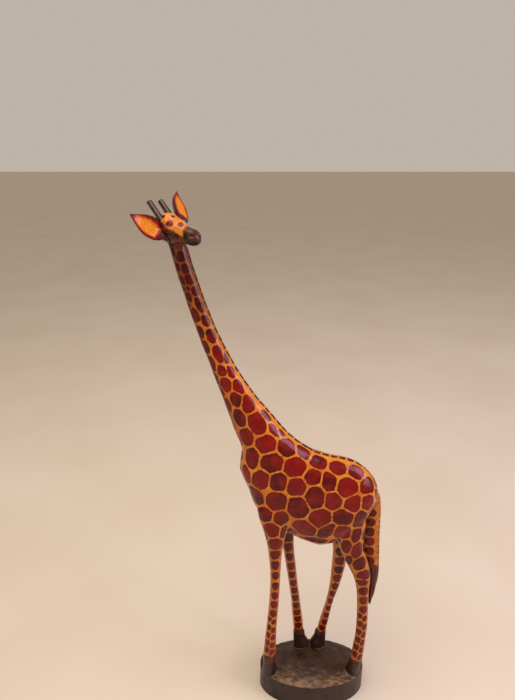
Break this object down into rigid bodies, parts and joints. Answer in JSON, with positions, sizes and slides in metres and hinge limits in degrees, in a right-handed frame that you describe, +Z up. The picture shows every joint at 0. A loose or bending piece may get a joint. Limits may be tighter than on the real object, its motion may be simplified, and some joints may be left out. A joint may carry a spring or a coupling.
{
  "type": "carved giraffe statue",
  "caption": "Painted wooden giraffe on a dark oval plinth, body broadside, head turned back over its left shoulder, with leaf ears, horn pegs and a slim tail.",
  "frame": {"origin": "centre of the plinth's flat underside, on the surface that the statue stands on", "axes": "+Z up, the giraffe's body faces -X, and +Y is the animal's right side: the head looks back towards -Y and +X"},
  "size_m": [0.251, 0.07, 0.6022],
  "materials": {
    "stained_wood": "dark brown stain, waxed, worn pale on the dome",
    "painted_wood": "amber ground with deep red spots under glossy varnish",
    "painted_ear": "amber with a dark red rim under glossy varnish",
    "peg_wood": "dark brown stain, bare wood at the cut top",
    "dowel_wood": "bare turned hardwood"
  },
  "bodies": {
    "root": {"base": "stained_wood", "figure": "painted_wood", "tail": "painted_wood", "ear_right": "painted_ear", "ear_left": "painted_ear", "horn_right": "peg_wood", "horn_left": "peg_wood", "hoof_dowels": "dowel_wood"}
  },
  "joints": []
}
